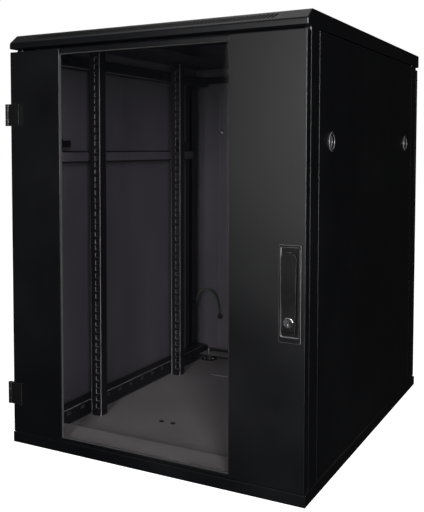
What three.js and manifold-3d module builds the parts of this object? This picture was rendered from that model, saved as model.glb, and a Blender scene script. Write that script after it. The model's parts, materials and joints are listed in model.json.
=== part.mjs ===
// Network server rack cabinet, 19 inch, 600 x 800 x 800 mm, with a glazed swing door.
// Millimetres, +Z up. The origin is on the floor under the middle of the cabinet; the door faces -Y.
import * as THREE from 'three';
import { mergeVertices } from 'three/addons/utils/BufferGeometryUtils.js';
import Module from 'manifold-3d';

const wasm = await Module();
wasm.setup();

// ---- driving dimensions ----
const WIDTH = 600;
const DEPTH = 800;
const HEIGHT = 800;
const SKIN = 1.5;              // sheet steel
const GAP = 0.3;               // between pieces that touch
const HALF_ROOF = WIDTH / 2;
const HALF_BODY = HALF_ROOF - 2;
const FRONT = -DEPTH / 2;
const BACK = DEPTH / 2;

const BASE_TOP = 20;
const BASE_WALL = 2;
const BASE_FRONT_FLANGE = 90;
const BASE_REAR_FLANGE = 70;
const BASE_SIDE_FLANGE = 40;
const BASE_LIP = 18;

const ROOF_BOTTOM = 772;
const ROOF_SKIRT_TOP = 783.5;
const ROOF_CHAMFER = 22;
const ROOF_LIP = 22;
const VENT_PITCH = 7.5;
const VENT_HALF_ROW = 246;

const DOOR_BOTTOM = 22;
const DOOR_TOP = 766;
const DOOR_BACK = FRONT + 19;
const GLASS_LEFT = -182;
const GLASS_RIGHT = 165;
const GLASS_BOTTOM = 28;
const GLASS_TOP = 757;
const GLASS_TUCK = 13;         // how far the pane reaches behind the steel
const PANE_FRONT = FRONT + 4;
const PANE_BACK = FRONT + 8;

const POST_FRONT = FRONT + 21;
const POST_REAR = FRONT + 63;
const POST_INNER = 284;
const POST_SEAT = 289.65;      // outer face of the lip that the side panel's edge rests on
const POST_SEAT_END = POST_REAR + 16;
const FRAME_TOP = 771.7;
const TOP_FRAME_BOTTOM = 756;

const UNIT = 44.45;            // one rack unit
const UNITS = 17;              // units of holes; 16 of them are clear of the base and the top frame
const HOLE_OFFSETS = [6.35, 22.225, 38.1];
const HOLE_SIZE = 9.5;
const HOLE_X = 465.1 / 2;
const RAIL_SKIN = 2;
const RAIL_INNER = 225;
const RAIL_OUTER = 250;
const RAIL_FLANGE = 25;
const RAIL_LIP = 14;
const RAIL_BOTTOM = 4.5;
const RAIL_TOP = 790;
const RAIL_FACES = { front: -200, rear: 162 };

const DEPTH_RAIL_INNER = 254;
const DEPTH_RAIL_OUTER = 281.9;
const DEPTH_RAILS = {          // height of the flange and of the web's free edge
  lower: { flange: 37.5, edge: 6 },
  upper: { flange: 747, edge: 769.9 },
};
const DEPTH_RAIL_SLOTS = 14;
const DEPTH_RAIL_SLOT = [18, 8];

const BRACE_BOTTOM = 550;
const BRACE_TOP = 575;
const BRACE_INNER = 276.5;

const SIDE_PANEL_Z = [21, 771];
const SIDE_PANEL_TRAY = 8;

const LATCH_Z = 590;
const LATCH_Y = 272;
const LATCH_BODY_R = 13.5;
const LATCH_BARREL_R = 8;
const TONGUE_INNER = 270.5;
const TONGUE_OUTER = 273.5;

const HINGE_HEIGHTS = { lower: 100, upper: 645 };
const HINGE_HALF = 21;
const HINGE_LEAF_END = -274;
const KNUCKLE_R = 4.5;
const PIVOT_X = -302.5;
const PIVOT_Y = FRONT - 4;
const PIN_R = 2;

const HANDLE_X = 274;
const HANDLE_Z = 402;
const ESCUTCHEON_FRONT = FRONT - 5.5;
const LEVER_BACK = FRONT - 6;
const LEVER_FRONT = FRONT - 12;
const LEVER_HALF = 13;
const LEVER_END = 283;
const LEVER_PIVOT_Z = HANDLE_Z + 8.5;
const LEVER_PIVOT_Y = (LEVER_BACK + LEVER_FRONT) / 2;
const LUG_R = 2;               // round top of the lug that carries the lever's pin
const LOCK_Z = 301.5;
const LOCK_R = 8;
const KEY_SLOT = [0.8, 4.5];   // half width and half height
const SPINDLE_R = 8;

const FOOT_X = 235;
const FOOT_Y = 352;
const FOOT_STUD_R = 5;
const FOOT_PAD_R = 17;
const FOOT_PAD_TOP_R = 12;
const FOOT_PAD_HEIGHT = 5;
const FOOT_TOP = 34;

// ---- solids from three.js geometry ----
function solid(geometry) {
  const plain = geometry.index ? geometry.toNonIndexed() : geometry.clone();
  plain.deleteAttribute('normal');
  plain.deleteAttribute('uv');
  const merged = mergeVertices(plain, 1e-4);
  return new wasm.Manifold(new wasm.Mesh({
    numProp: 3,
    vertProperties: new Float32Array(merged.attributes.position.array),
    triVerts: new Uint32Array(merged.index.array),
  }));
}

function geometryOf(body) {
  const mesh = body.getMesh();
  const geometry = new THREE.BufferGeometry();
  geometry.setAttribute('position', new THREE.BufferAttribute(new Float32Array(mesh.vertProperties), 3));
  geometry.setIndex(new THREE.BufferAttribute(new Uint32Array(mesh.triVerts), 1));
  geometry.computeVertexNormals();
  return geometry;
}

function cut(body, tools) {
  return tools.reduce((rest, tool) => rest.subtract(tool), body);
}

function join(bodies) {
  return bodies.reduce((whole, body) => whole.add(body));
}

function box([x0, x1], [y0, y1], [z0, z1]) {
  const shape = new THREE.BoxGeometry(Math.abs(x1 - x0), Math.abs(y1 - y0), Math.abs(z1 - z0));
  shape.translate((x0 + x1) / 2, (y0 + y1) / 2, (z0 + z1) / 2);
  return solid(shape);
}

function outline(points) {
  return new THREE.Shape(points.map(([u, v]) => new THREE.Vector2(u, v)));
}

function extruded(shape, length) {
  return new THREE.ExtrudeGeometry(shape, { depth: length, bevelEnabled: false, curveSegments: 4 });
}

// a section in (x, y), run along Z
function alongZ(shape, z0, z1) {
  return solid(extruded(shape, z1 - z0).translate(0, 0, z0));
}

// a section in (y, z), run along X
function alongX(shape, x0, x1) {
  const turn = new THREE.Matrix4().makeBasis(
    new THREE.Vector3(0, 1, 0), new THREE.Vector3(0, 0, 1), new THREE.Vector3(1, 0, 0));
  return solid(extruded(shape, x1 - x0).applyMatrix4(turn).translate(x0, 0, 0));
}

// a section in (x, z), run along Y
function alongY(shape, y0, y1) {
  const turn = new THREE.Matrix4().makeBasis(
    new THREE.Vector3(1, 0, 0), new THREE.Vector3(0, 0, 1), new THREE.Vector3(0, -1, 0));
  return solid(extruded(shape, y1 - y0).applyMatrix4(turn).translate(0, y1, 0));
}

// a bent sheet: the points are on one face, and the thickness lies to the left of the way they run
function bent(points, thickness = SKIN) {
  const inner = points.map((point, i) => {
    const before = points[Math.max(i - 1, 0)];
    const after = points[Math.min(i + 1, points.length - 1)];
    const into = i > 0 ? unit(before, point) : unit(point, after);
    const away = i < points.length - 1 ? unit(point, after) : into;
    const left = [-(into[1] + away[1]), into[0] + away[0]];
    const scale = thickness / (1 + into[0] * away[0] + into[1] * away[1]);
    return [point[0] + left[0] * scale, point[1] + left[1] * scale];
  });
  return [...points, ...inner.reverse()];
}

function unit(from, to) {
  const length = Math.hypot(to[0] - from[0], to[1] - from[1]);
  return [(to[0] - from[0]) / length, (to[1] - from[1]) / length];
}

// the same section on the other side (side -1) or at the back (end -1)
function mirrored(points, side = 1, end = 1) {
  return points.map(([u, v]) => [u * side, v * end]);
}

// a rectangle with rounded corners
function roundedBar(x0, x1, z0, z1, radius) {
  const shape = new THREE.Shape();
  shape.moveTo(x0 + radius, z0);
  shape.lineTo(x1 - radius, z0);
  shape.quadraticCurveTo(x1, z0, x1, z0 + radius);
  shape.lineTo(x1, z1 - radius);
  shape.quadraticCurveTo(x1, z1, x1 - radius, z1);
  shape.lineTo(x0 + radius, z1);
  shape.quadraticCurveTo(x0, z1, x0, z1 - radius);
  shape.lineTo(x0, z0 + radius);
  shape.quadraticCurveTo(x0, z0, x0 + radius, z0);
  return shape;
}

function rod(axis, centre, radius, from, to, sides = 16) {
  const shape = new THREE.CylinderGeometry(radius, radius, to - from, sides);
  if (axis === 'z') {
    shape.rotateX(Math.PI / 2);
    shape.translate(centre[0], centre[1], (from + to) / 2);
  } else if (axis === 'x') {
    shape.rotateZ(Math.PI / 2);
    shape.translate((from + to) / 2, centre[0], centre[1]);
  } else {
    shape.translate(centre[0], (from + to) / 2, centre[1]);
  }
  return solid(shape);
}

// ---- finishes ----
const finishes = {
  black_powder_coat: { color: 0x1b1c1f, roughness: 0.55, metalness: 0.1 },
  frame_powder_coat: { color: 0x2a2a2e, roughness: 0.5, metalness: 0.2 },
  smoked_glass: { color: 0x2a2c30, roughness: 0.05, metalness: 0, transparent: true, opacity: 0.35 },
  black_plastic: { color: 0x141416, roughness: 0.4, metalness: 0 },
  zinc_steel: { color: 0xb4b6b8, roughness: 0.35, metalness: 1 },
  chrome: { color: 0xd8d8da, roughness: 0.12, metalness: 1 },
  earth_insulation: { color: 0x5f8a2c, roughness: 0.5, metalness: 0 },
};

const cabinet = new THREE.Group();

function addPiece(name, body, finish) {
  const mesh = new THREE.Mesh(geometryOf(body), new THREE.MeshStandardMaterial(finishes[finish]));
  mesh.name = name;
  cabinet.add(mesh);
}

const SIDES = [['left', -1], ['right', 1]];
const ENDS = [['front', 1], ['rear', -1]];

// ---- base, floor and feet ----
const FEET = SIDES.flatMap(([, side]) => ENDS.map(([, end]) => [side * FOOT_X, -end * FOOT_Y]));

// a channel all round, open to the inside
function baseFrame() {
  const whole = box([-HALF_ROOF, HALF_ROOF], [FRONT, BACK], [0, BASE_TOP]);
  const inX = HALF_ROOF - BASE_WALL;
  const inY = BACK - BASE_WALL;
  const studHoles = FEET.map((centre) => rod('z', centre, FOOT_STUD_R + 0.5, BASE_TOP - 3, BASE_TOP + 1, 12));
  return cut(whole, [
    box([-inX, inX], [-inY, inY], [BASE_WALL, BASE_TOP - BASE_WALL]),
    box([-HALF_ROOF + BASE_SIDE_FLANGE, HALF_ROOF - BASE_SIDE_FLANGE],
      [FRONT + BASE_FRONT_FLANGE, BACK - BASE_REAR_FLANGE], [BASE_TOP - 3, BASE_TOP + 1]),
    box([-HALF_ROOF + BASE_LIP, HALF_ROOF - BASE_LIP], [FRONT + BASE_LIP, BACK - BASE_LIP], [-1, 3]),
    ...studHoles,
  ]);
}

const FLOOR_BOTTOM = BASE_WALL + GAP;
const FLOOR_TOP = FLOOR_BOTTOM + SKIN;
const FLOOR_EDGE = BASE_WALL + 1;
const ENTRY_HALF = 150;
const ENTRY_Y = [220, 300];
const PLUG_HOLE_R = 4;
const PLUG_HOLES = [[-98, -160], [-71, -160]];
const FOOT_HOLE_R = 20;

// lies on the base frame's bottom lip, with room for the feet in its corners
function floorPanel() {
  const x = HALF_ROOF - FLOOR_EDGE;
  const y = BACK - FLOOR_EDGE;
  const plate = box([-x, x], [-y, y], [FLOOR_BOTTOM, FLOOR_TOP]);
  const through = [FLOOR_BOTTOM - 1, FLOOR_TOP + 1];
  const entry = box([-ENTRY_HALF, ENTRY_HALF], ENTRY_Y, through);
  const plugHoles = PLUG_HOLES.map((centre) => rod('z', centre, PLUG_HOLE_R, ...through, 12));
  const footHoles = FEET.map((centre) => rod('z', centre, FOOT_HOLE_R, ...through, 20));
  return cut(plate, [entry, ...plugHoles, ...footHoles]);
}

addPiece('base_frame', baseFrame(), 'frame_powder_coat');
addPiece('floor_panel', floorPanel(), 'frame_powder_coat');
addPiece('floor_cable_cover', box([-ENTRY_HALF - 10, ENTRY_HALF + 10], [ENTRY_Y[0] - 8, ENTRY_Y[1] + 8],
  [FLOOR_TOP + GAP, FLOOR_TOP + GAP + SKIN]), 'frame_powder_coat');

for (const [sideName, side] of SIDES) {
  for (const [endName, end] of ENDS) {
    const centre = [side * FOOT_X, -end * FOOT_Y];
    const pad = new THREE.CylinderGeometry(FOOT_PAD_TOP_R, FOOT_PAD_R, FOOT_PAD_HEIGHT, 16);
    pad.rotateX(Math.PI / 2).translate(...centre, FOOT_PAD_HEIGHT / 2);
    const stud = rod('z', centre, FOOT_STUD_R, FOOT_PAD_HEIGHT - 1, FOOT_TOP, 12);
    addPiece(`levelling_foot_${endName}_${sideName}`, join([solid(pad), stud]), 'zinc_steel');
  }
}

// ---- posts ----
function postSection(side, end) {
  const points = bent([
    [POST_INNER + SKIN, FRONT + 55],
    [POST_INNER + SKIN, POST_FRONT + SKIN],
    [HALF_BODY - SKIN, POST_FRONT + SKIN],
    [HALF_BODY - SKIN, POST_REAR - SKIN],
    [POST_SEAT - SKIN, POST_REAR - SKIN],
    [POST_SEAT - SKIN, POST_SEAT_END],
  ], -SKIN);
  return outline(mirrored(points, side, end));
}

const CAM_SWEEP = [HANDLE_Z - 19, HANDLE_Z + 11];

for (const [sideName, side] of SIDES) {
  for (const [endName, end] of ENDS) {
    let post = alongZ(postSection(side, end), BASE_TOP + GAP, FRAME_TOP);
    if (side === 1 && end === 1) {
      const web = [POST_INNER - 1, HALF_BODY - SKIN - 0.5];
      const window = box(web, [POST_FRONT - 1, POST_FRONT + 10], CAM_SWEEP);
      post = post.subtract(window);
    }
    addPiece(`corner_post_${endName}_${sideName}`, post, 'frame_powder_coat');
  }
}

// ---- top frame and roof ----
function topFrame() {
  const x = POST_INNER - GAP;
  const y = BACK - 21 - GAP;
  return cut(box([-x, x], [-y, y], [TOP_FRAME_BOTTOM, FRAME_TOP]), [
    box([-x + SKIN, x - SKIN], [-y + SKIN, y - SKIN], [TOP_FRAME_BOTTOM - 1, FRAME_TOP - SKIN]),
    box([-x + 28, x - 28], [-y + 40, y - 40], [FRAME_TOP - 3, FRAME_TOP + 1]),
  ]);
}

const FAN_HALF = 130;
const FAN_Y = [-60, 200];

function roofCover() {
  const outer = alongX(outline([
    [FRONT, ROOF_BOTTOM], [FRONT, ROOF_SKIRT_TOP], [FRONT + ROOF_CHAMFER, HEIGHT],
    [BACK, HEIGHT], [BACK, ROOF_BOTTOM],
  ]), -HALF_ROOF, HALF_ROOF);
  const inner = alongX(outline([
    [FRONT + SKIN, ROOF_BOTTOM + SKIN], [FRONT + SKIN, ROOF_SKIRT_TOP - 0.5],
    [FRONT + ROOF_CHAMFER + 0.5, HEIGHT - SKIN],
    [BACK - SKIN, HEIGHT - SKIN], [BACK - SKIN, ROOF_BOTTOM + SKIN],
  ]), -HALF_ROOF + SKIN, HALF_ROOF - SKIN);
  const x = HALF_ROOF - ROOF_LIP;
  const y = BACK - ROOF_LIP;
  const underside = box([-x, x], [-y, y], [ROOF_BOTTOM - 1, ROOF_BOTTOM + 3]);
  const fanOpening = box([-FAN_HALF, FAN_HALF], FAN_Y, [HEIGHT - 3, HEIGHT + 1]);
  return cut(outer, [inner, underside, fanOpening, ventSlots()]);
}

// slanted slots across the roof's front chamfer
function ventSlots() {
  const slope = Math.atan2(HEIGHT - ROOF_SKIRT_TOP, ROOF_CHAMFER);
  const slant = Math.PI / 6;
  const middleY = FRONT + ROOF_CHAMFER / 2;
  const middleZ = (ROOF_SKIRT_TOP + HEIGHT) / 2;
  const count = Math.floor(VENT_HALF_ROW / VENT_PITCH);
  const slots = [];
  for (let i = -count; i <= count; i += 1) {
    const slot = new THREE.BoxGeometry(3.6, 14.5, 8);
    slot.rotateZ(-slant);
    slot.rotateX(slope);
    slot.translate(i * VENT_PITCH, middleY, middleZ);
    slots.push(solid(slot));
  }
  return join(slots);
}

// a plain plate under the fan opening
function fanBlank() {
  const rim = 15;
  return box([-FAN_HALF - rim, FAN_HALF + rim], [FAN_Y[0] - rim, FAN_Y[1] + rim],
    [HEIGHT - SKIN - GAP - SKIN, HEIGHT - SKIN - GAP]);
}

addPiece('top_frame', topFrame(), 'frame_powder_coat');
addPiece('roof_cover', roofCover(), 'black_powder_coat');
addPiece('roof_fan_blank', fanBlank(), 'black_powder_coat');

// ---- depth rails, braces and 19 inch rails ----
// an angle along the depth of the cabinet: a slotted web and a flange to the posts
function depthRail(side, { flange, edge }) {
  const down = Math.sign(flange - edge);
  const section = outline(mirrored(bent([
    [DEPTH_RAIL_OUTER, flange], [DEPTH_RAIL_INNER, flange], [DEPTH_RAIL_INNER, edge],
  ], SKIN * down), side));
  const rail = alongY(section, FRONT + 24, BACK - 24);
  const across = [side * DEPTH_RAIL_INNER - 3, side * DEPTH_RAIL_INNER + 3];
  const besideBase = [0, BASE_TOP + GAP];
  const notches = [
    box(across, [FRONT, FRONT + BASE_FRONT_FLANGE + GAP], besideBase),
    box(across, [BACK - BASE_REAR_FLANGE - GAP, BACK], besideBase),
  ];
  const pitch = (DEPTH - 100) / DEPTH_RAIL_SLOTS;
  const [length, height] = DEPTH_RAIL_SLOT;
  const middle = (flange + Math.max(edge, BASE_TOP)) / 2;
  const slots = [];
  for (let i = 0; i < DEPTH_RAIL_SLOTS; i += 1) {
    const y = FRONT + 50 + pitch * (i + 0.5);
    slots.push(box(across, [y - length / 2, y + length / 2], [middle - height / 2, middle + height / 2]));
  }
  return cut(rail, [...notches, ...slots]);
}

// the face towards the door has the square holes, and both its long edges are bent back
function mountingRail(side, face) {
  const section = outline(mirrored(bent([
    [RAIL_OUTER, face + RAIL_LIP],
    [RAIL_OUTER, face],
    [RAIL_INNER, face],
    [RAIL_INNER, face + RAIL_FLANGE],
  ], -RAIL_SKIN), side));
  const holes = [];
  const half = HOLE_SIZE / 2;
  const first = (RAIL_BOTTOM + RAIL_TOP - UNITS * UNIT) / 2;
  for (let u = 0; u < UNITS; u += 1) {
    for (const offset of HOLE_OFFSETS) {
      const z = first + u * UNIT + offset;
      const x = side * HOLE_X;
      holes.push(box([x - half, x + half], [face - 3, face + 3], [z - half, z + half]));
    }
  }
  return cut(alongZ(section, RAIL_BOTTOM, RAIL_TOP), holes);
}

function sideBrace(side) {
  const foot = POST_SEAT - SKIN - GAP;
  const section = bent([
    [foot, BRACE_TOP], [BRACE_INNER, BRACE_TOP], [BRACE_INNER, BRACE_BOTTOM], [foot, BRACE_BOTTOM],
  ]);
  return alongY(outline(mirrored(section, side)), POST_REAR, -POST_REAR);
}

for (const [sideName, side] of SIDES) {
  for (const [level, heights] of Object.entries(DEPTH_RAILS)) {
    addPiece(`depth_rail_${level}_${sideName}`, depthRail(side, heights), 'frame_powder_coat');
  }
  addPiece(`side_brace_${sideName}`, sideBrace(side), 'frame_powder_coat');
  for (const [endName, face] of Object.entries(RAIL_FACES)) {
    addPiece(`mounting_rail_${endName}_${sideName}`, mountingRail(side, face), 'frame_powder_coat');
  }
}

// ---- rear panel ----
const REAR_INNER = -POST_FRONT + GAP;
const REAR_OUTER = BACK - 2;
const RIB_X = 204;
const RIB_FACE = REAR_INNER + 0.5;
const RIB_CREST = 14;
const RIB_FOOT = 24;
const RIB_END = 12;
const REAR_SLOTS = { rows: [80, 690], each: 17, pitch: 18, width: 6, height: 44 };

function rearPanel() {
  const tray = box([-HALF_BODY, HALF_BODY], [REAR_INNER, REAR_OUTER], [DOOR_BOTTOM, DOOR_TOP]);
  const hollow = box([-HALF_BODY + SKIN, HALF_BODY - SKIN], [REAR_INNER - 1, REAR_OUTER - SKIN],
    [DOOR_BOTTOM + SKIN, DOOR_TOP - SKIN]);
  const { rows, each, pitch, width, height } = REAR_SLOTS;
  const slots = [];
  for (const z of rows) {
    for (let i = 0; i < each; i += 1) {
      const x = (i - (each - 1) / 2) * pitch;
      slots.push(box([x - width / 2, x + width / 2], [REAR_OUTER - 3, REAR_OUTER + 1],
        [z - height / 2, z + height / 2]));
    }
  }
  return cut(tray, [hollow, ...slots]);
}

// a hat section, its crest towards the inside
function rearRib(side) {
  const root = REAR_OUTER - SKIN - GAP;
  const crest = RIB_FACE + SKIN;
  const hat = bent([
    [RIB_X - RIB_FOOT, root], [RIB_X - RIB_CREST, root], [RIB_X - RIB_CREST, crest],
    [RIB_X + RIB_CREST, crest], [RIB_X + RIB_CREST, root], [RIB_X + RIB_FOOT, root],
  ], -SKIN);
  return alongZ(outline(mirrored(hat, side)), DOOR_BOTTOM + RIB_END, DOOR_TOP - RIB_END);
}

addPiece('rear_panel', rearPanel(), 'black_powder_coat');
for (const [sideName, side] of SIDES) {
  addPiece(`rear_panel_rib_${sideName}`, rearRib(side), 'frame_powder_coat');
}

// ---- side panels and their quarter-turn latches ----
function latchBody(side) {
  const inner = TONGUE_OUTER + 0.5;
  const rim = HALF_ROOF - 0.1;
  const seat = HALF_BODY + GAP;
  const profile = [
    [LATCH_BARREL_R + 0.4, inner], [LATCH_BODY_R, inner], [LATCH_BODY_R, seat], [17, seat], [17, rim],
    [12.5, rim], [12.5, rim - 5], [LATCH_BARREL_R + 0.4, rim - 5], [LATCH_BARREL_R + 0.4, inner],
  ].map(([r, x]) => new THREE.Vector2(r, x));
  const turned = new THREE.LatheGeometry(profile, 16);
  turned.rotateZ(-side * Math.PI / 2);
  return solid(turned);
}

// a key barrel with its tongue, which lies along Y while the panel is free
function latchCam(side) {
  const outer = HALF_BODY - 3;
  const barrel = rod('x', [0, 0], LATCH_BARREL_R, TONGUE_INNER, outer, 12);
  const tongue = alongX(roundedBar(-7, 33, -7, 7, 3), TONGUE_INNER, TONGUE_OUTER);
  const keySlot = box([outer - 3, outer + 1], [-KEY_SLOT[0], KEY_SLOT[0]], [-KEY_SLOT[1], KEY_SLOT[1]]);
  const cam = barrel.add(tongue).subtract(keySlot);
  return side === 1 ? cam : cam.mirror([1, 0, 0]);
}

function sidePanel(side) {
  const half = -POST_REAR - 0.5;
  const outer = side * HALF_BODY;
  const inner = outer - side * SIDE_PANEL_TRAY;
  const [bottom, top] = SIDE_PANEL_Z;
  const tray = box([outer, inner], [-half, half], [bottom, top]);
  const hollow = box([outer - side * SKIN, inner - side],
    [-half + SKIN, half - SKIN], [bottom + SKIN, top - SKIN]);
  const through = [Math.min(outer, inner) - 2, Math.max(outer, inner) + 2];
  const radius = LATCH_BODY_R + GAP;
  const holes = ENDS.map(([, end]) => rod('x', [-end * LATCH_Y, LATCH_Z], radius, ...through, 20));
  return cut(tray, [hollow, ...holes]);
}

for (const [sideName, side] of SIDES) {
  addPiece(`side_panel_${sideName}`, sidePanel(side), 'black_powder_coat');
  for (const [endName, end] of ENDS) {
    const place = [0, -end * LATCH_Y, LATCH_Z];
    addPiece(`latch_body_${sideName}_${endName}`, latchBody(side).translate(place), 'black_plastic');
    addPiece(`latch_cam_${sideName}_${endName}`, latchCam(side).translate(place), 'zinc_steel');
  }
}

// ---- door ----
function doorPanel(outerX, innerX) {
  const side = Math.sign(outerX);
  const shell = box([outerX, innerX], [FRONT, DOOR_BACK], [DOOR_BOTTOM, DOOR_TOP]);
  const hollow = box([outerX - side * SKIN, innerX + side * SKIN], [FRONT + SKIN, DOOR_BACK + 1],
    [DOOR_BOTTOM + SKIN, DOOR_TOP - SKIN]);
  const paneGap = box([innerX + side * 3, innerX - side], [PANE_FRONT - GAP, DOOR_BACK + 1],
    [DOOR_BOTTOM + SKIN, DOOR_TOP - SKIN]);
  return cut(shell, [hollow, paneGap]);
}

const stripX = [GLASS_LEFT + GAP, GLASS_RIGHT - GAP];

// an angle across the door, over or under the pane
function strip(height, shelf) {
  const face = box(stripX, [FRONT, FRONT + SKIN], height);
  return face.add(box(stripX, [FRONT, DOOR_BACK], shelf));
}

const spindleHole = rod('y', [HANDLE_X, HANDLE_Z], SPINDLE_R + 0.6, FRONT - 2, FRONT + 5, 20);
addPiece('door_panel_left', doorPanel(-HALF_BODY, GLASS_LEFT), 'black_powder_coat');
addPiece('door_panel_right', doorPanel(HALF_BODY, GLASS_RIGHT).subtract(spindleHole), 'black_powder_coat');
addPiece('door_strip_top', strip([GLASS_TOP, DOOR_TOP], [DOOR_TOP - SKIN, DOOR_TOP]), 'black_powder_coat');
addPiece('door_strip_bottom', strip([DOOR_BOTTOM, GLASS_BOTTOM], [DOOR_BOTTOM, DOOR_BOTTOM + SKIN]),
  'black_powder_coat');
addPiece('door_glass', box([GLASS_LEFT - GLASS_TUCK, GLASS_RIGHT + GLASS_TUCK], [PANE_FRONT, PANE_BACK],
  [DOOR_BOTTOM + SKIN + 0.7, DOOR_TOP - SKIN - 0.7]), 'smoked_glass');

for (const [sideName, side, edge] of [['left', -1, -GLASS_LEFT], ['right', 1, GLASS_RIGHT]]) {
  const foot = FRONT + SKIN + GAP;
  const clamp = PANE_BACK + GAP;
  const section = bent([
    [edge + 33, foot], [edge + 18, foot], [edge + 18, clamp], [edge + 4, clamp],
  ], -SKIN);
  addPiece(`glass_retainer_${sideName}`,
    alongZ(outline(mirrored(section, side)), DOOR_BOTTOM + 8, DOOR_TOP - 8), 'frame_powder_coat');
}

// ---- hinges ----
function hingeFrameLeaf(z) {
  const knuckle = rod('z', [PIVOT_X, PIVOT_Y], KNUCKLE_R, z - 8.7, z + 8.7, 20);
  const arm = box([PIVOT_X - 1, -HALF_BODY - GAP], [PIVOT_Y, PIVOT_Y + 13], [z - 8.7, z + 8.7]);
  const plate = box([-HALF_BODY - GAP - 3, -HALF_BODY - GAP], [PIVOT_Y + 10, POST_REAR - 5],
    [z - HINGE_HALF, z + HINGE_HALF]);
  return join([knuckle, arm, plate]).subtract(rod('z', [PIVOT_X, PIVOT_Y], PIN_R + GAP, z - 10, z + 10, 12));
}

function hingeDoorLeaf(z) {
  const knuckle = rod('z', [PIVOT_X, PIVOT_Y], KNUCKLE_R, z - HINGE_HALF, z + HINGE_HALF, 20);
  const leaf = box([PIVOT_X, HINGE_LEAF_END], [FRONT - 6.5, FRONT - 0.4], [z - HINGE_HALF, z + HINGE_HALF]);
  return cut(knuckle.add(leaf), [
    box([PIVOT_X - 6, PIVOT_X + KNUCKLE_R + 0.6], [FRONT - 10, FRONT + 1], [z - 9, z + 9]),
    rod('z', [PIVOT_X, PIVOT_Y], PIN_R + GAP, z - 20, z + 20, 12),
  ]);
}

for (const [name, z] of Object.entries(HINGE_HEIGHTS)) {
  addPiece(`hinge_frame_leaf_${name}`, hingeFrameLeaf(z), 'black_plastic');
  addPiece(`hinge_door_leaf_${name}`, hingeDoorLeaf(z), 'black_plastic');
  addPiece(`hinge_pin_${name}`, rod('z', [PIVOT_X, PIVOT_Y], PIN_R, z - 19.5, z + 19.5, 12), 'zinc_steel');
}

// ---- swing handle ----
function escutcheon() {
  const plate = alongY(roundedBar(255.5, 292.5, 267, 425, 2), ESCUTCHEON_FRONT, FRONT - GAP);
  const pocket = alongY(roundedBar(258.5, 289.5, 276, 421, 2), ESCUTCHEON_FRONT - 1, ESCUTCHEON_FRONT + 2.5);
  return cut(plate, [pocket, rod('y', [HANDLE_X, HANDLE_Z], SPINDLE_R + 0.4, FRONT - 8, FRONT + 1, 20)]);
}

// shaft through the door, a lug and cross pin that carry the lever, and the cam behind the door
function handleSpindle() {
  const shaft = rod('y', [HANDLE_X, HANDLE_Z], SPINDLE_R, FRONT - 5.4, POST_FRONT + 5, 16);
  const head = rod('y', [HANDLE_X, HANDLE_Z], 12, FRONT - 5.4, FRONT - 3.4, 16);
  const lugX = [HANDLE_X - 4, HANDLE_X + 4];
  const lug = box(lugX, [LEVER_PIVOT_Y - LUG_R, FRONT - 4], [HANDLE_Z - 2, LEVER_PIVOT_Z]);
  const lugTop = rod('x', [LEVER_PIVOT_Y, LEVER_PIVOT_Z], LUG_R, ...lugX, 16);
  const pin = rod('x', [LEVER_PIVOT_Y, LEVER_PIVOT_Z], 1.5, HANDLE_X - 9, HANDLE_X + 9, 12);
  const cam = alongY(roundedBar(HANDLE_X - 8, HANDLE_X + 17, HANDLE_Z - 6, HANDLE_Z + 6, 3),
    POST_FRONT + 2.2, POST_FRONT + 5);
  return join([shaft, head, lug, lugTop, pin, cam]);
}

function leverOutline() {
  const shape = new THREE.Shape();
  shape.moveTo(HANDLE_X - 11, LEVER_END);
  shape.lineTo(HANDLE_X + 11, LEVER_END);
  shape.lineTo(HANDLE_X + LEVER_HALF, HANDLE_Z);
  shape.absarc(HANDLE_X, HANDLE_Z, LEVER_HALF, 0, Math.PI);
  return shape;
}

function leverSide() {
  const shape = new THREE.Shape();
  const r = (LEVER_BACK - LEVER_FRONT) / 2;
  shape.moveTo(LEVER_FRONT + 2, LEVER_END - 1);
  shape.lineTo(LEVER_BACK, LEVER_END - 1);
  shape.lineTo(LEVER_BACK, LEVER_PIVOT_Z);
  shape.absarc(LEVER_PIVOT_Y, LEVER_PIVOT_Z, r, 0, Math.PI);
  shape.lineTo(LEVER_FRONT, LEVER_END + 6);
  return shape;
}

function handleLever() {
  const paddle = alongY(leverOutline(), LEVER_FRONT - 1, LEVER_BACK + 1).intersect(
    alongX(leverSide(), HANDLE_X - 20, HANDLE_X + 20));
  return cut(paddle, [
    box([HANDLE_X - 4.4, HANDLE_X + 4.4], [LEVER_FRONT + 0.6, LEVER_BACK + 1], [HANDLE_Z - 7, HANDLE_Z + 20]),
    rod('x', [LEVER_PIVOT_Y, LEVER_PIVOT_Z], 1.9, HANDLE_X - 9.6, HANDLE_X + 9.6, 12),
    rod('y', [HANDLE_X, LOCK_Z], LOCK_R + 0.3, LEVER_FRONT - 1, LEVER_BACK + 1, 20),
  ]);
}

function lockBarrel() {
  const barrel = rod('y', [HANDLE_X, LOCK_Z], LOCK_R, LEVER_FRONT - 0.5, LEVER_BACK - 0.3, 20);
  const keySlot = box([HANDLE_X - KEY_SLOT[0], HANDLE_X + KEY_SLOT[0]], [LEVER_FRONT - 2, LEVER_FRONT + 3],
    [LOCK_Z - KEY_SLOT[1], LOCK_Z + KEY_SLOT[1]]);
  return barrel.subtract(keySlot);
}

addPiece('handle_escutcheon', escutcheon(), 'black_plastic');
addPiece('handle_spindle', handleSpindle(), 'zinc_steel');
addPiece('handle_lever', handleLever(), 'black_plastic');
addPiece('lock_barrel', lockBarrel(), 'chrome');

// ---- earth lead ----
const LEAD_R = 2.5;
const LEAD_ROUTE = [
  [-272, 352, 164], [-270.5, 352.5, 172], [-268, 354, 182], [-262, 357, 190],
  [-253, 361, 194], [-243, 365, 193], [-233, 368.5, 187], [-225, 371, 177],
  [-219.5, 372.5, 164], [-216, 373, 150], [-214, 373, 137], [-213, 373, 127],
];

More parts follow.
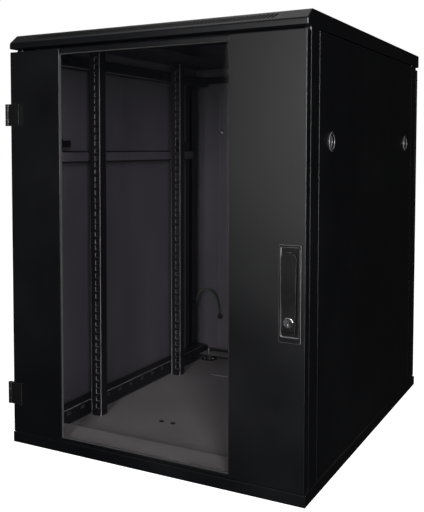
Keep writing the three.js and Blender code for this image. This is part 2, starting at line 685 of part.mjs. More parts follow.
function leadTube() {
  const curve = new THREE.CatmullRomCurve3(LEAD_ROUTE.map((point) => new THREE.Vector3(...point)));
  const section = new THREE.Shape();
  section.absarc(0, 0, LEAD_R, 0, Math.PI * 2);
  const tube = new THREE.ExtrudeGeometry(section, { steps: 28, curveSegments: 4, extrudePath: curve });
  return solid(tube);
}

addPiece('earth_lead', leadTube(), 'earth_insulation');
addPiece('earth_terminal_post', join([
  rod('x', [352, 156], 4, -POST_INNER + GAP, -POST_INNER + 14, 12),
  box([-POST_INNER + 9, -POST_INNER + 11], [347, 357], [150, 163.4]),
  rod('x', [352, 156], 6.5, -POST_INNER + 2.5, -POST_INNER + 8.5, 6),
]), 'zinc_steel');
addPiece('earth_terminal_panel', join([
  rod('y', [-213, 119], 4, 366, RIB_FACE - GAP, 12),
  box([-218, -208], [371, 373], [113, 126.5]),
  rod('y', [-213, 119], 6.5, 373, RIB_FACE - 1, 6),
]), 'zinc_steel');

export default cabinet;
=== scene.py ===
"""Looks of the network server rack cabinet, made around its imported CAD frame.

Metres, +Z up. The glazed door faces -Y and its handle is on the +X side.
"""
import json
import math

import bmesh
import bpy
from mathutils import Matrix, Vector


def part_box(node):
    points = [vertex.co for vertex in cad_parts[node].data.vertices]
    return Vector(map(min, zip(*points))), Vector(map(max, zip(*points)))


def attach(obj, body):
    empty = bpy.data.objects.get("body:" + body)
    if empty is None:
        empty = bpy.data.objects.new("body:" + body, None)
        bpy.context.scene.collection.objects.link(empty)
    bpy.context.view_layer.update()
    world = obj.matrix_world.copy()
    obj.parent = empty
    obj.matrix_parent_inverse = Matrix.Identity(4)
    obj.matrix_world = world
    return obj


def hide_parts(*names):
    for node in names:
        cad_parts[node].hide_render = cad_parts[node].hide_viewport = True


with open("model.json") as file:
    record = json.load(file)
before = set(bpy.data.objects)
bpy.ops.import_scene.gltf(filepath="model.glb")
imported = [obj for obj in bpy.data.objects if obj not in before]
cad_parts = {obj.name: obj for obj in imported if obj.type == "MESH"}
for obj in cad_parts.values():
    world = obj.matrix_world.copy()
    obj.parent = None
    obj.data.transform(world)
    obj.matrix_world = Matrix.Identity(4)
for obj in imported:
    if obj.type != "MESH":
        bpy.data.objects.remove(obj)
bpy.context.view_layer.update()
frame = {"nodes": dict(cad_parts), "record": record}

MM = 0.001
JOINED = 0.01 * MM      # vertices closer than this are one vertex
NODES = frame["nodes"]
BODY_OF = {node: body for body, nodes in frame["record"]["behaviour"]["bodies"].items() for node in nodes}
SIDES = {"left": -1, "right": 1}
ENDS = {"front": -1, "rear": 1}
UP = (0, 0, 1)


# ---- places taken from the frame, in mm ----
def span(node, axis):
    """From where to where a CAD node reaches along x, y or z."""
    return tuple(corner["xyz".index(axis)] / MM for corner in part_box(node))


def middle(node, axis):
    return sum(span(node, axis)) / 2


CLEAR = 0.05            # the usual gap between a face and what is mounted on it
RETAINER_SHEET = 1.5
RAIL_SHEET = 2.0
GLASS_X = {"left": span("door_panel_left", "x")[1], "right": span("door_panel_right", "x")[0]}
GLASS_Z = (span("door_strip_bottom", "z")[1], span("door_strip_top", "z")[0])
GLASS_FRONT = span("door_glass", "y")[0] - CLEAR
RETAINER_FACE = span("glass_retainer_left", "y")[0] + RETAINER_SHEET + 2 * CLEAR
REAR_PANEL_FACE = span("rear_panel", "y")[1] + CLEAR
REAR_RIB_FACE = span("rear_panel_rib_left", "y")[0] - CLEAR
ROOF_FACE = span("roof_cover", "z")[1] + CLEAR
CABLE_COVER_FACE = span("floor_cable_cover", "z")[1] + CLEAR
FLOOR_FACE = span("floor_panel", "z")[1] + CLEAR
RAIL_SIDE = span("mounting_rail_front_right", "x")[1] - RAIL_SHEET - 2 * CLEAR
RAIL_FACES = [span(f"mounting_rail_{end_name}_left", "y")[0] for end_name in ENDS]
HINGE_HEIGHTS = {name: middle(f"hinge_frame_leaf_{name}", "z") for name in ("lower", "upper")}
HINGE_PLATE = -301.25   # just under the outer face of the hinges' frame leaves
FOOT_X = middle("levelling_foot_rear_right", "x")
FOOT_Y = middle("levelling_foot_rear_right", "y")


# ---- camera ----
def make_camera():
    """The photograph's point of view: standing to the right of the door, at the height of its upper third."""
    eye = Vector((0.7216, -1.6246, 0.5769))
    ahead = Vector((-0.50952, 0.85884, -0.05267)).normalized()
    right = Vector((0.86011, 0.51009, -0.0030))
    right = (right - ahead * right.dot(ahead)).normalized()
    up = right.cross(ahead)
    data = bpy.data.cameras.new("camera")
    data.sensor_width = 36.0
    data.lens = 56.72
    data.shift_x = 0.139
    data.shift_y = -0.124
    camera = bpy.data.objects.new("camera", data)
    bpy.context.scene.collection.objects.link(camera)
    turn = Matrix((right, up, -ahead)).transposed()
    camera.matrix_world = Matrix.Translation(eye) @ turn.to_4x4()
    bpy.context.scene.camera = camera


# ---- finishes ----
def node_tree(name):
    """A new material and its nodes, with a Principled shader already wired to the output."""
    material = bpy.data.materials.new(name)
    material.use_nodes = True
    tree = material.node_tree
    shader = tree.nodes["Principled BSDF"]
    coordinates = tree.nodes.new("ShaderNodeTexCoord")
    return material, tree, shader, coordinates.outputs["Object"]


def noise(tree, place, scale, detail=2.0, roughness=0.5):
    texture = tree.nodes.new("ShaderNodeTexNoise")
    texture.inputs["Scale"].default_value = scale
    texture.inputs["Detail"].default_value = detail
    texture.inputs["Roughness"].default_value = roughness
    tree.links.new(place, texture.inputs["Vector"])
    return texture.outputs["Fac"]


def ranged(tree, value, low, high, start=0.3, end=0.7):
    """The value carried from start..end to low..high."""
    node = tree.nodes.new("ShaderNodeMapRange")
    node.inputs["From Min"].default_value = start
    node.inputs["From Max"].default_value = end
    node.inputs["To Min"].default_value = low
    node.inputs["To Max"].default_value = high
    tree.links.new(value, node.inputs["Value"])
    return node.outputs["Result"]


def blended(tree, factor, first, second):
    """A colour between two colours or colour sockets."""
    node = tree.nodes.new("ShaderNodeMix")
    node.data_type = "RGBA"
    tree.links.new(factor, node.inputs["Factor"])
    for socket, colour in (("A", first), ("B", second)):
        place = [s for s in node.inputs if s.name == socket and s.type == "RGBA"][0]
        if isinstance(colour, bpy.types.NodeSocket):
            tree.links.new(colour, place)
        else:
            place.default_value = (*colour, 1.0)
    return [s for s in node.outputs if s.type == "RGBA"][0]


def bumped(tree, shader, layers):
    """Bumps from several height sockets, each with its own depth in metres, on top of one another."""
    normal = None
    for height, depth, strength in layers:
        bump = tree.nodes.new("ShaderNodeBump")
        bump.inputs["Distance"].default_value = depth
        bump.inputs["Strength"].default_value = strength
        tree.links.new(height, bump.inputs["Height"])
        if normal is not None:
            tree.links.new(normal, bump.inputs["Normal"])
        normal = bump.outputs["Normal"]
    tree.links.new(normal, shader.inputs["Normal"])


def shaded(colour, by):
    return tuple(c * by for c in colour)


PEBBLES = 850.0         # how fine the paint's pebbled skin is, as a scale of noise
DUST = (0.21, 0.2, 0.19)


def powder_coat(name, colour, rough, specular, dust=0.0):
    """Baked powder paint: a fine pebbled skin, faint cloudiness, and a little dust on what faces up."""
    material, tree, shader, place = node_tree(name)
    clouds = noise(tree, place, 5.0, 3.0)
    speckle = noise(tree, place, PEBBLES * 0.6, 2.0)
    tone = blended(tree, ranged(tree, clouds, 0, 1), shaded(colour, 0.86), shaded(colour, 1.14))
    tone = blended(tree, ranged(tree, speckle, 0, 0.35, 0.45, 0.75), tone, shaded(colour, 1.9))
    if dust:
        geometry = tree.nodes.new("ShaderNodeNewGeometry")
        split = tree.nodes.new("ShaderNodeSeparateXYZ")
        tree.links.new(geometry.outputs["Normal"], split.inputs[0])
        facing_up = ranged(tree, split.outputs["Z"], 0, 1, 0.6, 1.0)
        patches = ranged(tree, noise(tree, place, 9.0, 4.0), 0.3, 1)
        amount = tree.nodes.new("ShaderNodeMath")
        amount.operation = "MULTIPLY"
        tree.links.new(facing_up, amount.inputs[0])
        tree.links.new(patches, amount.inputs[1])
        tone = blended(tree, ranged(tree, amount.outputs[0], 0, dust, 0, 1), tone, DUST)
    tree.links.new(tone, shader.inputs["Base Color"])
    tree.links.new(ranged(tree, clouds, rough - 0.05, rough + 0.06), shader.inputs["Roughness"])
    shader.inputs["Specular IOR Level"].default_value = specular
    bumped(tree, shader, [
        (noise(tree, place, PEBBLES, 3.0, 0.6), 0.0001, 0.3),
        (noise(tree, place, PEBBLES * 0.22, 2.0), 0.0001, 0.1),
    ])
    return material


def worn_and_highlit_bend(name, colour, rough, specular):
    """Paint on a bend or an edge: smoother than on the flat, and paler in patches, partly as rubbed wear and
    partly as a painted highlight along the bend.
    """
    material, tree, shader, place = node_tree(name)
    rubs_and_highlights = noise(tree, place, 60.0, 4.0, 0.6)
    # The paler tone is partly rubbed wear and partly a painted highlight along the bend.
    tone = blended(tree, ranged(tree, rubs_and_highlights, 0, 1), shaded(colour, 1.5), shaded(colour, 2.6))
    tree.links.new(tone, shader.inputs["Base Color"])
    tree.links.new(ranged(tree, rubs_and_highlights, rough + 0.03, rough - 0.03), shader.inputs["Roughness"])
    shader.inputs["Specular IOR Level"].default_value = specular
    bumped(tree, shader, [(noise(tree, place, 700.0, 3.0, 0.6), 0.0001, 0.12)])
    return material


def moulded_plastic(name, colour, rough, specular):
    """Spark-textured moulded plastic."""
    material, tree, shader, place = node_tree(name)
    clouds = noise(tree, place, 40.0, 2.0)
    tone = blended(tree, ranged(tree, clouds, 0, 1), shaded(colour, 0.85), shaded(colour, 1.2))
    tree.links.new(tone, shader.inputs["Base Color"])
    tree.links.new(ranged(tree, clouds, rough - 0.05, rough + 0.05), shader.inputs["Roughness"])
    shader.inputs["Specular IOR Level"].default_value = specular
    bumped(tree, shader, [(noise(tree, place, 2200.0, 2.0), 0.0001, 0.3)])
    return material


def metal(name, colour, rough, tint, grain=600.0):
    """Plated metal: a grain of fine scratches and a faint drift of colour."""
    material, tree, shader, place = node_tree(name)
    drift = noise(tree, place, 60.0, 3.0)
    tone = blended(tree, ranged(tree, drift, 0, 1), colour, tint)
    tree.links.new(tone, shader.inputs["Base Color"])
    tree.links.new(ranged(tree, drift, rough - 0.04, rough + 0.08), shader.inputs["Roughness"])
    shader.inputs["Metallic"].default_value = 1.0
    bumped(tree, shader, [(noise(tree, place, grain, 4.0, 0.7), 0.00008, 0.3)])
    return material


def rubber(name, colour):
    material, tree, shader, place = node_tree(name)
    wear = noise(tree, place, 120.0, 3.0)
    tone = blended(tree, ranged(tree, wear, 0, 1), colour, shaded(colour, 1.8))
    tree.links.new(tone, shader.inputs["Base Color"])
    tree.links.new(ranged(tree, wear, 0.65, 0.85), shader.inputs["Roughness"])
    shader.inputs["Specular IOR Level"].default_value = 0.3
    bumped(tree, shader, [(noise(tree, place, 1500.0, 2.0), 0.0001, 0.3)])
    return material


def sheath(name, colour):
    """Soft cable insulation."""
    material, tree, shader, place = node_tree(name)
    clouds = noise(tree, place, 90.0, 2.0)
    tone = blended(tree, ranged(tree, clouds, 0, 1), shaded(colour, 0.8), colour)
    tree.links.new(tone, shader.inputs["Base Color"])
    tree.links.new(ranged(tree, clouds, 0.38, 0.52), shader.inputs["Roughness"])
    bumped(tree, shader, [(noise(tree, place, 900.0, 2.0), 0.0001, 0.2)])
    return material


def tinted_glass(name):
    """A thin, mostly clear toughened pane with a dark tint and a few faint wipe marks."""
    material, tree, shader, place = node_tree(name)
    smear = noise(tree, place, 6.0, 5.0, 0.65)
    tone = blended(tree, ranged(tree, smear, 0, 1), (0.001, 0.0012, 0.0016), (0.003, 0.0032, 0.0038))
    tree.links.new(tone, shader.inputs["Base Color"])
    tree.links.new(ranged(tree, smear, 0.02, 0.06), shader.inputs["Roughness"])
    shader.inputs["Specular IOR Level"].default_value = 0.5
    shader.inputs["Alpha"].default_value = 0.22
    return material


# The outside paint's black, darker than black powder coat really is: painted shade that keeps the whole
# outside dark.
BLACK_PAINTED_SHADE = (0.001, 0.0011, 0.0015)
# The inside paint: the same black powder coat made pale, as painted light standing for the light coming in
# through the glass.
INNER_PAINTED_LIGHT = (0.1, 0.091, 0.11)
RAIL = (0.007, 0.0068, 0.0085)
# The floor paint: paler still, as painted light where light falls on the floor from above.
FLOOR_PAINTED_LIGHT = (0.3, 0.28, 0.287)
finishes = {
    "outer": powder_coat("painted_shade_outer_coat", BLACK_PAINTED_SHADE, 0.32, 0.36, dust=0.06),
    # The outside's bends: a little paler, partly wear and partly a painted highlight.
    "outer_bend": worn_and_highlit_bend("outer_bend", BLACK_PAINTED_SHADE, 0.32, 0.4),
    # The pale inside paint: painted light.
    "inner": powder_coat("painted_light_inner_coat", INNER_PAINTED_LIGHT, 0.5, 0.35),
    # Grey bends on the pale inside paint: a painted highlight.
    "inner_bend": worn_and_highlit_bend("inner_bend", INNER_PAINTED_LIGHT, 0.35, 0.5),
    "rail": powder_coat("rail_powder_coat", RAIL, 0.4, 0.3),
    # Far paler than the rails' paint: a painted highlight on the rails' bends, and painted light on the cut
    # faces round their holes.
    "rail_bend": worn_and_highlit_bend("rail_bend", (0.29, 0.283, 0.305), 0.24, 0.9),
    "floor": powder_coat("painted_light_floor_coat", FLOOR_PAINTED_LIGHT, 0.5, 0.35, dust=0.2),
    "plastic": moulded_plastic("black_plastic", (0.003, 0.003, 0.0033), 0.4, 0.12),
    # Far paler than the black plastic: a painted highlight along the plastic pieces' edges.
    "plastic_highlight_rim": moulded_plastic("painted_highlight_plastic_edge", (0.11, 0.11, 0.115), 0.24, 1.0),
    "zinc": metal("zinc_plate", (0.58, 0.59, 0.6), 0.34, (0.5, 0.49, 0.43)),
    "screw": metal("black_zinc_plate", (0.05, 0.05, 0.053), 0.36, (0.075, 0.072, 0.066)),
    "chrome": metal("chrome_plate", (0.8, 0.8, 0.81), 0.12, (0.72, 0.72, 0.74), 900.0),
    "rubber": rubber("black_rubber", (0.012, 0.012, 0.012)),
    "green": sheath("green_sheath", (0.012, 0.045, 0.018)),
    "yellow": sheath("yellow_sheath", (0.1, 0.11, 0.02)),
    "glass": tinted_glass("tinted_glass"),
}


# ---- making pieces ----
def add_piece(name, mesh, body, *finish_names):
    """A shown piece with its finishes, riding on a CAD body."""
    for finish in finish_names:
        mesh.materials.append(finishes[finish])
    piece = bpy.data.objects.new(name, mesh)
    bpy.context.scene.collection.objects.link(piece)
    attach(piece, body)
    return piece


def mesh_of(bm, name, smooth_below=50):
    """The finished mesh, smooth but for its sharp edges."""
    bmesh.ops.recalc_face_normals(bm, faces=bm.faces)
    for face in bm.faces:
        face.smooth = True
    mesh = bpy.data.meshes.new(name)
    bm.to_mesh(mesh)
    bm.free()
    mesh.set_sharp_from_angle(angle=math.radians(smooth_below))
    return mesh


def bridged(bm, first, second):
    """The faces between two rings with as many vertices."""
    count = len(first)
    return [bm.faces.new((first[i], first[(i + 1) % count], second[(i + 1) % count], second[i]))
            for i in range(count)]


# ---- earth lead ----
LEAD_RADIUS = 2.5 * MM
LEAD_ROUTE = [Vector(point) * MM for point in (
    (-272, 352, 164), (-270.5, 352.5, 172), (-268, 354, 182), (-262, 357, 190),
    (-253, 361, 194), (-243, 365, 193), (-233, 368.5, 187), (-225, 371, 177),
    (-219.5, 372.5, 164), (-216, 373, 150), (-214, 373, 137), (-213, 373, 127),
)]


def smooth_route(points, steps):
    """Catmull-Rom points through the route."""
    ends = [points[0] * 2 - points[1], *points, points[-1] * 2 - points[-2]]
    route = []
    for a, b, c, d in zip(ends, ends[1:], ends[2:], ends[3:]):
        for step in range(steps):
            t = step / steps
            route.append(0.5 * (2 * b + (c - a) * t + (2 * a - 5 * b + 4 * c - d) * t * t
                                + (3 * b - a - 3 * c + d) * t ** 3))
    return [*route, points[-1]]


def ahead_of(route, i):
    """The direction of the route at its point i."""
    return (route[min(i + 1, len(route) - 1)] - route[max(i - 1, 0)]).normalized()


def tube(bm, route, radius, sides, striped, twist):
    """A closed tube along the route, twisted by that many radians a metre.

    The faces on the sides that striped holds take the second material.
    """
    rings = []
    across = ahead_of(route, 0).orthogonal().normalized()
    travelled = 0.0
    for i, point in enumerate(route):
        ahead = ahead_of(route, i)
        across = (across - ahead * across.dot(ahead)).normalized()
        along = ahead.cross(across)
        travelled += (point - route[max(i - 1, 0)]).length
        loop = []
        for side in range(sides):
            angle = 2 * math.pi * side / sides + twist * travelled
            loop.append(bm.verts.new(point + (across * math.cos(angle) + along * math.sin(angle)) * radius))
        rings.append(loop)
    for first, second in zip(rings, rings[1:]):
        for side, face in enumerate(bridged(bm, first, second)):
            face.material_index = 1 if side in striped else 0
    bm.faces.new(rings[0][::-1])
    bm.faces.new(rings[-1])


def make_lead():
    route = smooth_route(LEAD_ROUTE, 4)
    bm = bmesh.new()
    tube(bm, route, LEAD_RADIUS, 16, striped={0, 1, 8, 9}, twist=25.0)
    lead = add_piece("earth_lead_sheath", mesh_of(bm, "earth_lead_sheath"), "cabinet", "green", "yellow")
    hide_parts("earth_lead")


# ---- folded sheet metal ----
WIDE = 2.5 * MM         # a flat region narrower than this is a cut edge of the sheet
IN_LINE = 0.9999        # two faces whose normals have this dot product or more lie in one plane
SHARP = 0.85            # and with less than this they meet at a sharp edge
WELL = Vector((283.5, 378.5)) * MM      # half the clear space between the corner posts
HOLLOW_CORNER = 0.7     # how far a bend's hollow side is rounded, in mm
BROKEN_EDGE = 0.22      # and how far every other sharp edge is broken
BEND, WITHIN, CUT = 1, 2, 3             # finishes of a folded piece beside its main one, which is 0


def flat_regions(bm):
    """The flat region that each face belongs to, and each region's width: twice its area over its outline."""
    bm.faces.index_update()
    region_of = {}
    widths = []
    for first in bm.faces:
        if first.index in region_of:
            continue
        region_of[first.index] = len(widths)
        waiting = [first]
        area = outline = 0.0
        while waiting:
            face = waiting.pop()
            area += face.calc_area()
            for edge in face.edges:
                for other in edge.link_faces:
                    if other is face:
                        continue
                    if other.normal.dot(face.normal) < IN_LINE:
                        outline += edge.calc_length()
                    elif other.index not in region_of:
                        region_of[other.index] = len(widths)
                        waiting.append(other)
        widths.append(2 * area / outline)
    return region_of, widths


def sharp_edges(bm):
    return [edge for edge in bm.edges if len(edge.link_faces) == 2
            and edge.link_faces[0].normal.dot(edge.link_faces[1].normal) < SHARP]


def rounded(bm, edges, radius, segments):
    """The edges that are still there, bevelled; the new faces come back."""
    edges = [edge for edge in edges if edge.is_valid]
    made = bmesh.ops.bevel(bm, geom=edges, offset=radius, offset_type="OFFSET", segments=segments,
                           profile=0.5, affect="EDGES", clamp_overlap=True, loop_slide=True)
    return made["faces"]


def split_at_well(bm):
    """Cuts the flat faces along the sides of the clear space, so that what is inside it can differ."""
    for axis, reach in enumerate(WELL):
        normal = Vector([float(i == axis) for i in range(3)])
        for side in (-1, 1):
            bmesh.ops.bisect_plane(bm, geom=[*bm.verts, *bm.edges, *bm.faces], dist=JOINED / 10,
                                   plane_co=normal * reach * side, plane_no=normal)


def fold(node, finish, bend, inside=None, upper=None, cut_face=None, radius=2.2, depth=3):
    """A sheet-metal node with rounded bends and broken edges, and some faces in a finish of their own.

    A face is inside when a point depth mm ahead of it is still in the node's box. An upper face looks up from
    the clear space between the posts. A cut face is as narrow as the sheet is thick.
    """
    low, high = (Vector(corner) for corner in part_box(node))
    bm = bmesh.new()
    bm.from_mesh(NODES[node].data)
    bmesh.ops.remove_doubles(bm, verts=bm.verts, dist=JOINED)
    bmesh.ops.dissolve_limit(bm, angle_limit=math.radians(1), verts=bm.verts, edges=bm.edges)
    if upper:
        split_at_well(bm)
    bm.normal_update()
    region_of, widths = flat_regions(bm)
    for face in bm.faces:
        centre = face.calc_center_median()
        ahead = centre + face.normal * depth * MM
        above = face.normal.z > 0.9 and all(abs(centre[i]) < WELL[i] for i in (0, 1))
        if widths[region_of[face.index]] <= WIDE:
            face.material_index = CUT
        elif (upper and above) or (inside and all(low[i] < ahead[i] < high[i] for i in range(3))):
            face.material_index = WITHIN
    bends = {True: [], False: []}
    for edge in sharp_edges(bm):
        if all(widths[region_of[face.index]] > WIDE for face in edge.link_faces):
            bends[edge.is_convex].append(edge)
    for face in rounded(bm, bends[True], radius * MM, 4):
        face.material_index = BEND
    rounded(bm, bends[False], HOLLOW_CORNER * MM, 2)
    bm.normal_update()
    rounded(bm, sharp_edges(bm), BROKEN_EDGE * MM, 1)
    piece = add_piece(node + "_sheet", mesh_of(bm, node + "_sheet", 40), BODY_OF[node],
                      finish, bend, inside or upper or finish, cut_face or finish)
    piece.modifiers.new("normals", "WEIGHTED_NORMAL").keep_sharp = True
    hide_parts(node)


def fold_sheet_metal():
    # The roof's inside faces take the pale inside paint, painted light; its slots' cut faces take the less
    # glossy black plastic, painted shade in the slots.
    fold("roof_cover", "outer", "outer_bend", inside="inner", cut_face="plastic", depth=16)
    # The base frame's faces that look up inside the cabinet take the pale floor paint: painted light from
    # above.
    fold("base_frame", "outer", "outer_bend", upper="floor")
    for node in NODES:
        if node.startswith(("side_panel", "rear_panel")) and "rib" not in node:
            # Their inside faces take the pale inside paint: painted light.
            fold(node, "outer", "outer_bend", inside="inner")
        elif node.startswith(("door_panel", "door_strip", "corner_post", "top_frame", "glass_retainer")):
            fold(node, "outer", "outer_bend")
        elif node.startswith("depth_rail"):
            # Grey bends on the near-black rail paint: a painted highlight.
            fold(node, "rail", "inner_bend")
        elif node.startswith("mounting_rail"):
            # The flanges' inside faces take the pale inside paint and the cut faces round the holes the pale
            # rail_bend finish: painted light, so the holes read as light dots; the bends carry a painted
            # highlight.
            fold(node, "rail", "rail_bend", inside="inner", cut_face="rail_bend",
                 radius=3.4 if "rear" in node else 2.2)
        elif node.startswith("side_brace"):
            # The brace's faces take the pale inside paint, painted light; its bends take the near-black rail
            # paint, painted shadow lines along its edges.
            fold(node, "inner", "rail", radius=3.0)
        elif node.startswith("rear_panel_rib"):
            # Pale inside paint with paler bends: painted light and a painted highlight.
            fold(node, "inner", "inner_bend")


# ---- turned pieces and screws ----
def axes_of(normal):
    normal = Vector(normal).normalized()
    across = normal.orthogonal().normalized()
    return across, normal.cross(across), normal


def ring(bm, outline, centre, axes, height):
    across, along, normal = axes
    return [bm.verts.new(centre + across * u + along * v + normal * height) for u, v in outline]


def circle(radius, sides, start=0.0):
    angles = [start + 2 * math.pi * i / sides for i in range(sides)]
    return [(radius * math.cos(angle), radius * math.sin(angle)) for angle in angles]


def skinned(bm, rings):
    """Walls between the rings, and a face at each end."""
    for first, second in zip(rings, rings[1:]):
        bridged(bm, first, second)
    bm.faces.new(rings[0][::-1])
    bm.faces.new(rings[-1])


def looped(bm, rings):
    """Walls between the rings and from the last one back to the first."""
    for first, second in zip(rings, [*rings[1:], rings[0]]):
        bridged(bm, first, second)


def turned(bm, profile, centre, sides):
    """An upright body turned round an axis, from (radius, height) pairs in mm. Six sides make a hexagon."""
    centre = Vector(centre) * MM
    axes = axes_of(UP)
    skinned(bm, [ring(bm, circle(radius * MM, sides), centre, axes, height * MM)
                 for radius, height in profile])


def cross_outline(reach, half):
    """Twenty-four points round a cross recess."""
    middle = (reach + half) / 2
    arm = [(reach, -half), (reach, 0), (reach, half), (middle, half), (half, half), (half, middle)]
    points = []
    for _ in range(4):
        points += arm
        arm = [(-v, u) for u, v in arm]
    return points


SCREW_SIDES = 24


def screw_head(bm, centre, normal, radius, height):
    """A pan head with a cross recess. The recess's outline has as many points as the head's."""
    centre = Vector(centre) * MM
    axes = axes_of(normal)
    start = -2 * math.pi / SCREW_SIDES      # so that each point faces one of the recess's
    rings = [ring(bm, circle(radius * part * MM, SCREW_SIDES, start), centre, axes, height * up * MM)
             for part, up in ((1, 0), (1, 0.35), (0.95, 0.62), (0.82, 0.85), (0.64, 0.97), (0.55, 1))]
    for part, up in ((1, 1), (0.8, 0.35)):
        outline = cross_outline(radius * 0.48 * part * MM, radius * 0.1 * part * MM)
        rings.append(ring(bm, outline, centre, axes, height * up * MM))
    skinned(bm, rings)


def screws(name, body, places, normal, radius=4.0, height=2.0, finish="screw"):
    bm = bmesh.new()
    for place in places:
        screw_head(bm, place, normal, radius, height)
    add_piece(name, mesh_of(bm, name, 35), body, finish)


def make_screws():
    screws("rear_panel_screws", "cabinet",
           [(x, REAR_PANEL_FACE, z) for x in (-286, 286) for z in (60, 282, 506, 728)], (0, 1, 0))
    screws("rear_rib_screws", "cabinet", [(x, REAR_RIB_FACE, 624) for x in (-211, 211)],
           (0, -1, 0), radius=6.5, height=3.5, finish="chrome")
    screws("cable_cover_screws", "cabinet",
           [(x, y, CABLE_COVER_FACE) for x in (-155, 0, 155) for y in (216, 304)],
           UP, radius=3.0, height=1.6)
    screws("roof_screws", "cabinet",
           [(x, y, ROOF_FACE) for x in (-138, 138) for y in (-66, 70, 206)],
           UP, radius=3.5, height=1.6)
    for side_name, side in SIDES.items():
        screws(f"rail_screws_{side_name}", "cabinet",
               [(side * RAIL_SIDE, face + 8, z) for face in RAIL_FACES for z in (28, 761)],
               (-side, 0, 0), radius=4.5, height=2.4)
        screws(f"retainer_screws_{side_name}", "front_door",
               [(GLASS_X[side_name] + side * 26, RETAINER_FACE, z) for z in range(70, 740, 130)],
               (0, 1, 0), radius=3.0, height=1.6)
    for name, height in HINGE_HEIGHTS.items():
        screws(f"hinge_screws_{name}", "cabinet",
               [(HINGE_PLATE, y, height + rise) for y in (-378, -352) for rise in (-10, 10)],
               (-1, 0, 0), radius=3.6, height=1.3)


# ---- small parts ----
PLUG_HOLES = ((-98, -160), (-71, -160))
THREAD_PITCH = 1.5
THREAD_TURNS = 16


def make_gasket():
    """The rubber bead between the steel and the front of the pane, mitred at its corners."""
    section = ((0.1, 0), (0.1, 2.45), (0.5, 2.95), (1.1, 2.75), (1.8, 1.75), (2.3, 0))
    bm = bmesh.new()
    loops = []
    for inset, proud in section:
        low_x, high_x = GLASS_X["left"] + inset, GLASS_X["right"] - inset
        low_z, high_z = GLASS_Z[0] + inset, GLASS_Z[1] - inset
        corners = ((low_x, low_z), (high_x, low_z), (high_x, high_z), (low_x, high_z))
        loops.append([bm.verts.new(Vector((x, GLASS_FRONT - proud, z)) * MM) for x, z in corners])
    looped(bm, loops)
    add_piece("glass_gasket", mesh_of(bm, "glass_gasket", 50), "front_door", "rubber")


def make_plugs():
    """Snap-in blanking plugs in the floor's two small holes."""
    bm = bmesh.new()
    profile = ((3.5, -1.2), (3.6, 0.0), (5.6, 0.02), (5.6, 0.5), (4.9, 1.1), (3.2, 1.4), (1.2, 1.45))
    for x, y in PLUG_HOLES:
        turned(bm, profile, (x, y, FLOOR_FACE), 20)
    add_piece("floor_plugs", mesh_of(bm, "floor_plugs", 40), "cabinet", "rubber")


def make_collars():
    """Rubber collars in the floor's holes over the feet."""
    bm = bmesh.new()
    profile = ((13.8, 0.2), (22.0, 0.0), (22.0, 0.7), (21.3, 1.3), (14.4, 1.4), (13.8, 0.9))
    for side in SIDES.values():
        for end in ENDS.values():
            centre = Vector((side * FOOT_X, end * FOOT_Y, FLOOR_FACE + CLEAR)) * MM
            looped(bm, [ring(bm, circle(radius * MM, 32), centre, axes_of(UP), height * MM)
                        for radius, height in profile])
    add_piece("foot_collars", mesh_of(bm, "foot_collars", 40), "cabinet", "rubber")


def make_feet():
    """Levelling feet: a moulded pad, a hexagon above it, a threaded stud and its lock nut."""
    pad = ((15.6, 0), (16.7, 0.5), (17, 1.3), (16.6, 2.1), (12.6, 4.4), (11.6, 4.9), (6, 5.0))
    hexagon = ((7.6, 4.95), (8.4, 5.4), (8.4, 9.0), (7.6, 9.5))
    thread = [(4.5, 9.4)]
    for turn in range(THREAD_TURNS):
        thread += [(5.0, 10.1 + turn * THREAD_PITCH), (4.4, 10.85 + turn * THREAD_PITCH)]
    thread.append((4.2, 33.8))
    nut = ((7.9, 11.2), (8.8, 11.8), (8.8, 17.2), (7.9, 17.8))
    for end_name, end in ENDS.items():
        for side_name, side in SIDES.items():
            node = f"levelling_foot_{end_name}_{side_name}"
            place = (side * FOOT_X, end * FOOT_Y, 0)
            bm = bmesh.new()
            turned(bm, pad, place, 32)
            turned(bm, hexagon, place, 6)
            turned(bm, thread, place, 20)
            foot = add_piece(node + "_turned", mesh_of(bm, node + "_turned", 40), BODY_OF[node], "zinc")
            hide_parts(node)
            bm = bmesh.new()
            turned(bm, nut, place, 6)
            add_piece(f"lock_nut_{end_name}_{side_name}", mesh_of(bm, "lock_nut", 30), "cabinet", "zinc")


# ---- the CAD nodes' own look ----
LOOKS = (               # how node names start, their finish, the width of a broken edge in mm, its steps
    # The floor panel and cable cover take the pale floor paint: painted light from above.
    (("floor_panel", "floor_cable"), "floor", 0.4, 2),
    (("roof_fan_blank",), "outer", 0.3, 2),
    (("handle_lever",), "plastic", 1.6, 4),
    (("handle_escutcheon",), "plastic", 1.6, 3),
    (("hinge_frame", "hinge_door", "latch_body"), "plastic", 1.2, 3),
    (("handle_spindle", "latch_cam", "earth_terminal"), "screw", 0.3, 2),
    (("lock_barrel",), "chrome", 0.6, 3),
    (("door_glass",), "glass", 0.5, 2),
    (("",), "zinc", 0.3, 2),
)


def look_of(node):
    """The finish, edge width and edge steps of a CAD node, from the first row that fits its name."""
    return [row[1:] for row in LOOKS if node.startswith(row[0])][0]


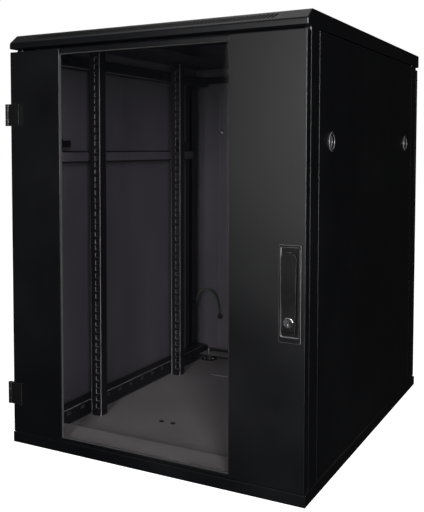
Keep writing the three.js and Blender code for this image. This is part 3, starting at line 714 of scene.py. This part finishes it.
def finish_node(node, piece):
    """Breaks the edges of a CAD node and gives it its finish. Its own mesh is left as packed."""
    finish, width, steps = look_of(node)
    if "custom_normal" in piece.data.attributes:
        piece.data.attributes.remove(piece.data.attributes["custom_normal"])
    piece.data.materials.clear()
    piece.data.materials.append(finishes[finish])
    # Plastic pieces get the paler rim finish on their bevelled edges: a painted highlight.
    piece.data.materials.append(finishes["plastic_highlight_rim" if finish == "plastic" else finish])
    for face in piece.data.polygons:
        face.use_smooth = True
        face.material_index = 0
    weld = piece.modifiers.new("weld", "WELD")
    weld.merge_threshold = JOINED
    flatten = piece.modifiers.new("flatten", "DECIMATE")
    flatten.decimate_type = "DISSOLVE"
    flatten.angle_limit = math.radians(1)
    bevel = piece.modifiers.new("edges", "BEVEL")
    bevel.width = width * MM
    bevel.segments = steps
    bevel.limit_method = "ANGLE"
    bevel.angle_limit = math.radians(32)
    bevel.use_clamp_overlap = True
    bevel.material = 1      # the rim's finish, a painted highlight on the plastic's edges
    normals = piece.modifiers.new("normals", "WEIGHTED_NORMAL")
    normals.keep_sharp = True


# ---- studio ----
LIGHTS = {              # place and target in metres, width, height, watts
    "window": ((-0.6, -2.9, 0.7), (0.23, -0.4, 0.45), 0.7, 1.33, 5.4),
    "key": ((1.35, -2.3, 0.95), (-0.2, 0.0, 0.4), 0.4, 1.7, 68),
    "front": ((0.6, -2.95, 0.95), (-0.1, 0.0, 0.35), 0.4, 1.0, 75),
    "edge": ((3.0, -1.35, 0.9), (0.3, -0.4, 0.5), 0.35, 1.8, 52),
    "top": ((-1.0, 0.35, 3.2), (0.0, -0.4, 0.8), 2.2, 1.0, 6.8),
    "side": ((3.4, 0.9, 1.8), (0.3, 0.0, 0.4), 1.2, 1.6, 0.5),
    "rear": ((-1.8, 2.8, 2.2), (0.0, 0.4, 0.4), 1.4, 1.4, 30),
}


def area_light(name, place, target, width, height, watts):
    data = bpy.data.lights.new(name, "AREA")
    data.shape = "RECTANGLE"
    data.size = width
    data.size_y = height
    data.energy = watts
    light = bpy.data.objects.new(name, data)
    bpy.context.scene.collection.objects.link(light)
    light.location = place
    light.rotation_euler = (Vector(target) - Vector(place)).to_track_quat("-Z", "Y").to_euler()


def make_floor():
    """A plain white floor that glows evenly and is left out of the cabinet's light and reflections."""
    bm = bmesh.new()
    bmesh.ops.create_grid(bm, x_segments=8, y_segments=8, size=60.0)
    mesh = bpy.data.meshes.new("floor")
    bm.to_mesh(mesh)
    bm.free()
    material, tree, shader, place = node_tree("studio_floor")
    tone = blended(tree, ranged(tree, noise(tree, place, 1.5), 0, 1), (0.3, 0.3, 0.3), (0.34, 0.34, 0.34))
    tree.links.new(tone, shader.inputs["Base Color"])
    shader.inputs["Roughness"].default_value = 0.9
    shader.inputs["Specular IOR Level"].default_value = 0.1
    shader.inputs["Emission Color"].default_value = (1, 1, 1, 1)
    shader.inputs["Emission Strength"].default_value = 1.0
    mesh.materials.append(material)
    floor = bpy.data.objects.new("floor", mesh)
    floor.location.z = -0.5 * MM
    floor.visible_glossy = False
    floor.visible_diffuse = False
    bpy.context.scene.collection.objects.link(floor)


def whitened(background, strength):
    background.inputs["Color"].default_value = (1, 1, 1, 1)
    background.inputs["Strength"].default_value = strength
    return background.outputs[0]


def make_world():
    """A white surround that is bright to look at and lights the cabinet only faintly."""
    world = bpy.data.worlds.new("studio")
    world.use_nodes = True
    nodes, links = world.node_tree.nodes, world.node_tree.links
    path = nodes.new("ShaderNodeLightPath")
    mix = nodes.new("ShaderNodeMixShader")
    links.new(path.outputs["Is Camera Ray"], mix.inputs[0])
    links.new(whitened(nodes["Background"], 0.01), mix.inputs[1])
    links.new(whitened(nodes.new("ShaderNodeBackground"), 1.0), mix.inputs[2])
    links.new(mix.outputs[0], nodes["World Output"].inputs["Surface"])
    bpy.context.scene.world = world
    bpy.context.scene.view_settings.view_transform = "Standard"


make_camera()
make_lead()
fold_sheet_metal()
make_gasket()
make_screws()
make_plugs()
make_collars()
make_feet()
for node_name, node_piece in NODES.items():
    finish_node(node_name, node_piece)
make_floor()
make_world()
for light_name, light in LIGHTS.items():
    area_light(light_name, *light)
